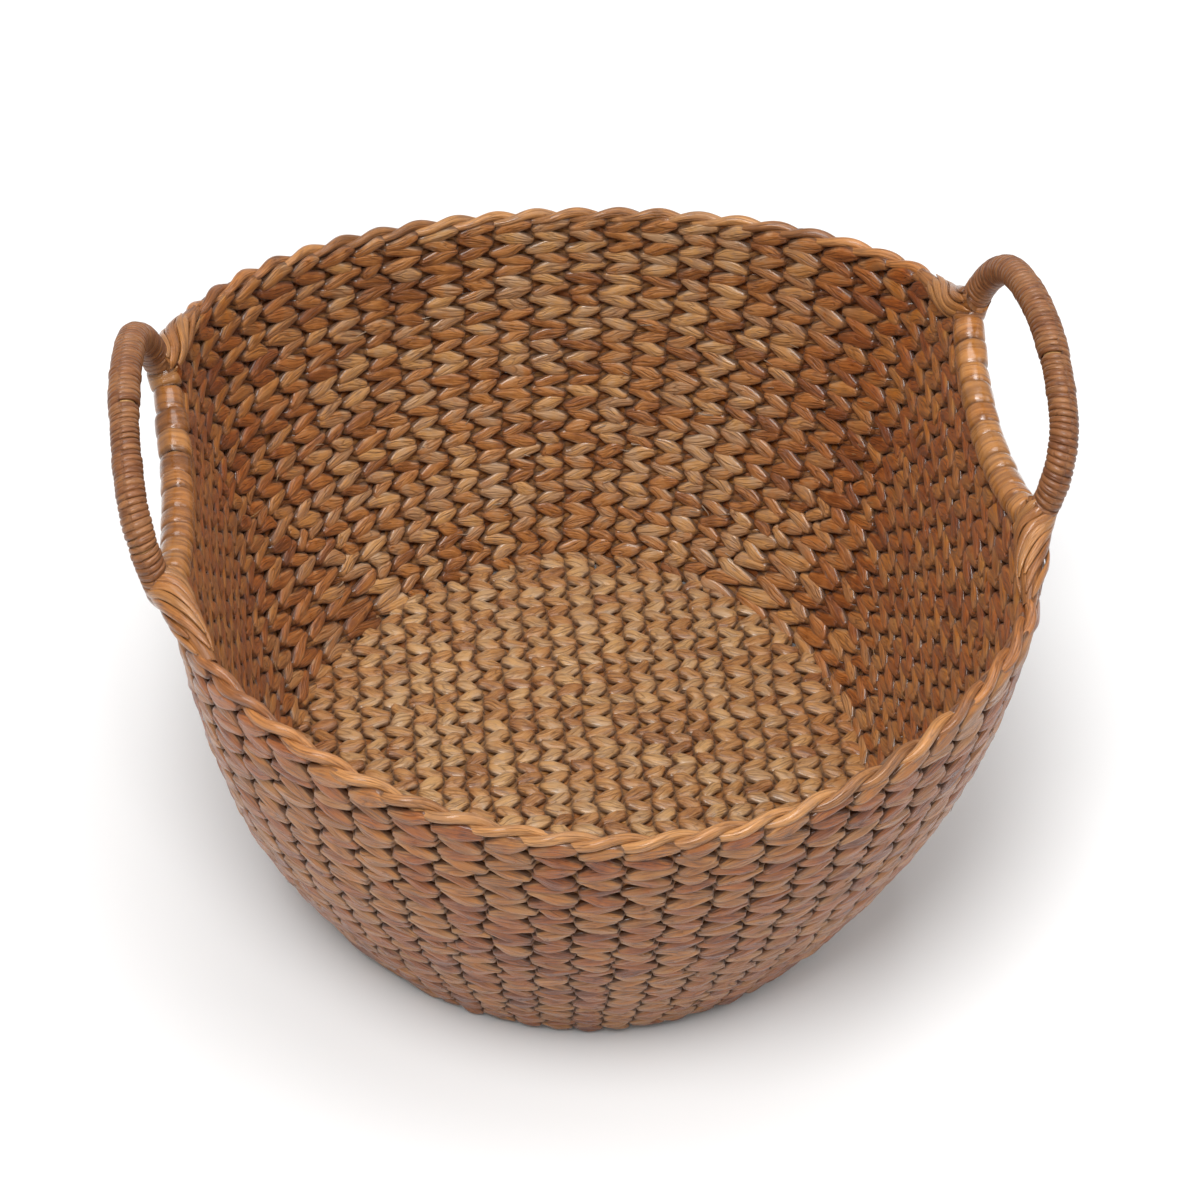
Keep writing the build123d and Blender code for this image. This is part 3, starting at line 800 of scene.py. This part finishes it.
def fibre_material(
    name, shades, along, around, strips, roughness, coat, bump, painted_crossing_shade, pale_fibre, edges=0.0
):
    """Plant fibre: stitch-to-stitch colour, fine strips and fibres along it, dull and glossy spots.

    along, around and strips are how fine the fibres and the strips are, with painted shade in the creases
    between the strips; painted_crossing_shade darkens the crossings with painted shade, pale_fibre
    lightens single fibres, and edges paints shade along the strands' edges.
    """
    material, tree, shader = node_tree(name)
    uv = add(tree, "ShaderNodeUVMap", uv_map="UVMap").outputs[0]
    shade = add(tree, "ShaderNodeAttribute", attribute_name="shade").outputs["Fac"]
    dive = add(tree, "ShaderNodeAttribute", attribute_name="dive").outputs["Fac"]
    face = add(tree, "ShaderNodeAttribute", attribute_name="face").outputs["Fac"]
    place = add(tree, "ShaderNodeNewGeometry").outputs["Position"]
    offset = add(tree, "ShaderNodeCombineXYZ")
    tree.links.new(math(tree, "MULTIPLY", shade, 37.0), offset.inputs[2])

    def stretched(scale_u, scale_v, detail):
        """Noise drawn out along the strand, different on each stitch."""
        stretch = add(tree, "ShaderNodeVectorMath", operation="MULTIPLY")
        stretch.inputs[1].default_value = (scale_u, scale_v, 1)
        tree.links.new(uv, stretch.inputs[0])
        moved = add(tree, "ShaderNodeVectorMath", operation="ADD")
        tree.links.new(stretch.outputs[0], moved.inputs[0])
        tree.links.new(offset.outputs[0], moved.inputs[1])
        noise = add(tree, "ShaderNodeTexNoise")
        noise.inputs["Scale"].default_value = 1.0
        noise.inputs["Detail"].default_value = detail
        noise.inputs["Roughness"].default_value = 0.65
        tree.links.new(moved.outputs[0], noise.inputs["Vector"])
        return noise.outputs["Fac"]

    def spots(scale, detail):
        """Noise in space, the same whichever strand passes through it."""
        noise = add(tree, "ShaderNodeTexNoise")
        noise.inputs["Scale"].default_value = scale
        noise.inputs["Detail"].default_value = detail
        tree.links.new(place, noise.inputs["Vector"])
        return noise.outputs["Fac"]

    fibre = stretched(along, around, 6.0)
    strip = stretched(along * 0.35, strips, 1.0)
    patch, drift = spots(110.0, 4.0), spots(9.0, 2.0)
    crease = math(tree, "ABSOLUTE", math(tree, "SUBTRACT", strip, 0.5))
    crease = ramp_value(tree, crease, 0.0, 0.045)
    pick = math(tree, "ADD", math(tree, "MULTIPLY", shade, 0.62), math(tree, "MULTIPLY", drift, 0.38))
    pick = math(tree, "ADD", pick, math(tree, "MULTIPLY", math(tree, "SUBTRACT", patch, 0.5), 0.6))
    pick = math(tree, "ADD", pick, math(tree, "MULTIPLY", math(tree, "SUBTRACT", fibre, 0.5), 0.5))
    base = ramp(tree, pick, shades)
    streaks = ramp(tree, fibre, STREAKS)
    color = mix(tree, "MULTIPLY", 0.85, base, streaks)
    # Painted shade in the fine creases between the strips.
    crease_shade = math(tree, "MULTIPLY", math(tree, "SUBTRACT", 1.0, crease), 0.42)
    color = mix(tree, "MIX", crease_shade, color, CREASE_SHADE_COLOUR)
    pale = math(tree, "MULTIPLY", ramp_value(tree, fibre, 0.60, 0.74), pale_fibre)
    frays = math(tree, "MULTIPLY", ramp_value(tree, shade, 1.2, 1.5), 0.9)
    color = mix(tree, "MIX", math(tree, "MAXIMUM", pale, frays), color, PALE_FIBRE)
    # Painted shade where a strand dives under its partner at a crossing.
    shadow = math(tree, "MULTIPLY", math(tree, "POWER", dive, 4.0), painted_crossing_shade)
    color = mix(tree, "MIX", shadow, color, PAINTED_SHADE_BROWN)
    if edges:
        split = add(tree, "ShaderNodeSeparateXYZ")
        tree.links.new(uv, split.inputs[0])
        turn = math(tree, "MULTIPLY", split.outputs[1], 2 * np.pi)
        rise = math(tree, "ABSOLUTE", math(tree, "SINE", turn))
        near_edge = ramp_value(tree, rise, 0.50, 0.75)
        frayed = math(tree, "MULTIPLY", near_edge, ramp_value(tree, patch, 0.50, 0.62))
        color = mix(tree, "MIX", math(tree, "MULTIPLY", frayed, 0.45), color, FRAYED_FIBRE)
        # Painted shade along each strand's edges, where it meets the strands beside it, wider towards the
        # crossings.
        taper = math(tree, "ADD", rise, math(tree, "MULTIPLY", dive, 0.42))
        line = math(tree, "MULTIPLY", ramp_value(tree, taper, 0.86, 1.06), edges)
        color = mix(tree, "MIX", line, color, PAINTED_SHADE_BROWN)
    # Darker, more saturated outside faces: partly the strands' own colour, partly painted shade.
    color = mix(tree, "MULTIPLY", face, color, OUTSIDE_COLOUR_AND_SHADE)
    reach = add(tree, "ShaderNodeSeparateXYZ")
    tree.links.new(place, reach.inputs[0])
    # Painted shade on the insides of the flat sides, fading in from 0.11 to 0.19 m out from the middle.
    to_side = ramp_value(tree, math(tree, "ABSOLUTE", reach.outputs[0]), 0.11, 0.19)
    side_shade = math(tree, "MULTIPLY", to_side, math(tree, "SUBTRACT", 1.0, face))
    color = mix(tree, "MULTIPLY", side_shade, color, PAINTED_SIDE_SHADE)
    tree.links.new(color, shader.inputs["Base Color"])
    gloss = math(tree, "ADD", roughness, math(tree, "MULTIPLY", math(tree, "SUBTRACT", fibre, 0.5), 0.5))
    gloss = math(tree, "ADD", gloss, math(tree, "MULTIPLY", math(tree, "SUBTRACT", patch, 0.5), 0.7))
    tree.links.new(gloss, shader.inputs["Roughness"])
    shader.inputs["Specular IOR Level"].default_value = 0.38
    shader.inputs["Coat Weight"].default_value = coat
    shader.inputs["Coat Roughness"].default_value = 0.13
    shader.inputs["Sheen Weight"].default_value = 0.05
    height = math(tree, "ADD", math(tree, "MULTIPLY", fibre, 1.3), math(tree, "MULTIPLY", patch, 0.6))
    height = math(tree, "ADD", height, math(tree, "MULTIPLY", crease, 0.55))
    bumps = add(tree, "ShaderNodeBump")
    bumps.inputs["Strength"].default_value = bump
    bumps.inputs["Distance"].default_value = 0.0009
    tree.links.new(height, bumps.inputs["Height"])
    tree.links.new(bumps.outputs[0], shader.inputs["Normal"])
    return material


WALL_SHADES = [
    (0.18, (0.24, 0.080, 0.016)),
    (0.34, (0.39, 0.150, 0.034)),
    (0.48, (0.44, 0.190, 0.055)),
    (0.60, (0.38, 0.210, 0.105)),
    (0.72, (0.52, 0.260, 0.080)),
    (0.86, (0.47, 0.280, 0.145)),
]
FLOOR_SHADES = [
    (0.18, (0.26, 0.105, 0.030)),
    (0.34, (0.36, 0.165, 0.050)),
    (0.48, (0.41, 0.205, 0.070)),
    (0.60, (0.38, 0.220, 0.100)),
    (0.72, (0.48, 0.265, 0.098)),
    (0.86, (0.43, 0.260, 0.125)),
]
RIM_SHADES = [
    (0.20, (0.28, 0.128, 0.042)),
    (0.45, (0.45, 0.225, 0.080)),
    (0.65, (0.54, 0.290, 0.110)),
    (0.85, (0.38, 0.205, 0.094)),
]
CORD_SHADES = [(0.2, (0.19, 0.085, 0.034)), (0.5, (0.26, 0.130, 0.057)), (0.8, (0.31, 0.175, 0.090))]
STRIP_SHADES = [
    (0.20, (0.29, 0.140, 0.045)),
    (0.45, (0.43, 0.225, 0.078)),
    (0.70, (0.51, 0.300, 0.123)),
    (0.90, (0.38, 0.228, 0.108)),
]
STAKE_SHADES = [(0.2, (0.12, 0.055, 0.024)), (0.5, (0.20, 0.095, 0.042)), (0.8, (0.27, 0.14, 0.07))]

wall_strand = fibre_material(
    "wall_strand", WALL_SHADES, along=2.4, around=30, strips=7,
    roughness=0.42, coat=0.40, bump=0.85, painted_crossing_shade=0.35, pale_fibre=0.7, edges=0.75,
)
floor_strand = fibre_material(
    "floor_strand", FLOOR_SHADES, along=2.4, around=30, strips=7,
    roughness=0.40, coat=0.40, bump=0.85, painted_crossing_shade=0.35, pale_fibre=0.7, edges=0.6,
)
rim_rope = fibre_material(
    "rim_rope", RIM_SHADES, along=2.0, around=22, strips=6,
    roughness=0.38, coat=0.35, bump=0.7, painted_crossing_shade=0.0, pale_fibre=0.35,
)
grip_cord = fibre_material(
    "grip_cord", CORD_SHADES, along=3.0, around=5, strips=2,
    roughness=0.44, coat=0.15, bump=0.5, painted_crossing_shade=0.0, pale_fibre=0.3,
)
flat_strip = fibre_material(
    "flat_strip", STRIP_SHADES, along=1.6, around=34, strips=9,
    roughness=0.32, coat=0.4, bump=0.5, painted_crossing_shade=0.85, pale_fibre=0.3,
)
bar_strip = fibre_material(  # its fibres run round the bar, across the rings
    "bar_strip", STRIP_SHADES, along=5.0, around=2.0, strips=0.5,
    roughness=0.26, coat=0.6, bump=0.45, painted_crossing_shade=0.9, pale_fibre=0.4,
)


def solid_fibre_material(name, shades, scale):
    """Bark and cane, for CAD pieces, which have no strand coordinates of their own."""
    material, tree, shader = node_tree(name)
    place = add(tree, "ShaderNodeNewGeometry").outputs["Position"]
    grain = add(tree, "ShaderNodeTexNoise")
    grain.inputs["Scale"].default_value = scale
    grain.inputs["Detail"].default_value = 6.0
    tree.links.new(place, grain.inputs["Vector"])
    tree.links.new(ramp(tree, grain.outputs["Fac"], shades), shader.inputs["Base Color"])
    dull = math(tree, "ADD", math(tree, "MULTIPLY", grain.outputs["Fac"], 0.3), 0.5)
    tree.links.new(dull, shader.inputs["Roughness"])
    shader.inputs["Specular IOR Level"].default_value = 0.4
    bumps = add(tree, "ShaderNodeBump")
    bumps.inputs["Strength"].default_value = 0.5
    bumps.inputs["Distance"].default_value = 0.0006
    tree.links.new(grain.outputs["Fac"], bumps.inputs["Height"])
    tree.links.new(bumps.outputs[0], shader.inputs["Normal"])
    return material


stake_bark = solid_fibre_material("stake_bark", STAKE_SHADES, 260.0)
hoop_cane = solid_fibre_material("hoop_cane", STRIP_SHADES, 200.0)

weave_courses(wall_strand)
weave_floor(floor_strand)
weave_rim(rim_rope)
for side in SIDES:
    wind_grip(side, grip_cord)
    wrap_bar(side, bar_strip)
    lash_feet(side, flat_strip)

for node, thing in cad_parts.items():
    cane = node.startswith("hoop_core")
    if "stakes" in node or cane:
        thing.data.materials.clear()
        thing.data.materials.append(hoop_cane if cane else stake_bark)


# Floor, light and camera


def make_floor():
    """A pale seamless ground, well past the view."""
    mesh = bpy.data.meshes.new("ground")
    size = 25.0
    corners = [(-size, -size, 0), (size, -size, 0), (size, size, 0), (-size, size, 0)]
    mesh.from_pydata(corners, [], [(0, 1, 2, 3)])
    ground = bpy.data.objects.new("ground", mesh)
    bpy.context.scene.collection.objects.link(ground)
    material, _, shader = node_tree("pale_ground")
    shader.inputs["Base Color"].default_value = (0.80, 0.80, 0.80, 1)
    shader.inputs["Roughness"].default_value = 0.9
    shader.inputs["Specular IOR Level"].default_value = 0.1
    mesh.materials.append(material)


LIGHT_TARGET = (0, 0, 0.1)


def add_light(name, place, size, power):
    """A round soft light that looks at the middle of the basket."""
    lamp = bpy.data.lights.new(name, "AREA")
    lamp.shape = "DISK"
    lamp.size = size
    lamp.energy = power
    thing = bpy.data.objects.new(name, lamp)
    thing.location = place
    forward = unit(np.array(LIGHT_TARGET) - np.array(place))
    right = unit(np.cross(forward, [0.0, 0.0, 1.0]))
    up = np.cross(right, forward)
    thing.rotation_euler = Matrix(np.stack([right, up, -forward], axis=1).tolist()).to_euler()
    bpy.context.scene.collection.objects.link(thing)


make_floor()
add_light("key", (-0.5, -0.9, 2.3), 1.1, 48)
add_light("fill", (1.5, -0.5, 1.9), 1.4, 12)
add_light("top", (0.1, 0.4, 2.5), 1.6, 26)

world = bpy.data.worlds.new("studio")
world.use_nodes = True
background = world.node_tree.nodes["Background"]
background.inputs["Color"].default_value = (1, 1, 1, 1)
background.inputs["Strength"].default_value = 0.45
bpy.context.scene.world = world

# The photograph's viewing angle. Yaw turns from +Y towards +X, and pitch looks down.
CAMERA_PLACE = (-0.1537, -1.1036, 1.2357)
CAMERA_YAW, CAMERA_PITCH, CAMERA_ROLL = 0.1438, 0.7751, 0.0489
CAMERA_VIEW = np.radians(23.14)
forward = np.array([
    np.sin(CAMERA_YAW) * np.cos(CAMERA_PITCH),
    np.cos(CAMERA_YAW) * np.cos(CAMERA_PITCH),
    -np.sin(CAMERA_PITCH),
])
level = np.array([np.cos(CAMERA_YAW), -np.sin(CAMERA_YAW), 0.0])
rise = np.cross(level, forward)
right = np.cos(CAMERA_ROLL) * level + np.sin(CAMERA_ROLL) * rise
above = -np.sin(CAMERA_ROLL) * level + np.cos(CAMERA_ROLL) * rise
camera = bpy.data.objects.new("camera", bpy.data.cameras.new("camera"))
camera.data.angle = CAMERA_VIEW
camera.data.clip_start = 0.01
camera.matrix_world = Matrix([
    [right[0], above[0], -forward[0], CAMERA_PLACE[0]],
    [right[1], above[1], -forward[1], CAMERA_PLACE[1]],
    [right[2], above[2], -forward[2], CAMERA_PLACE[2]],
    [0, 0, 0, 1],
])
bpy.context.scene.collection.objects.link(camera)
bpy.context.scene.camera = camera

bpy.context.scene.view_settings.view_transform = "Standard"
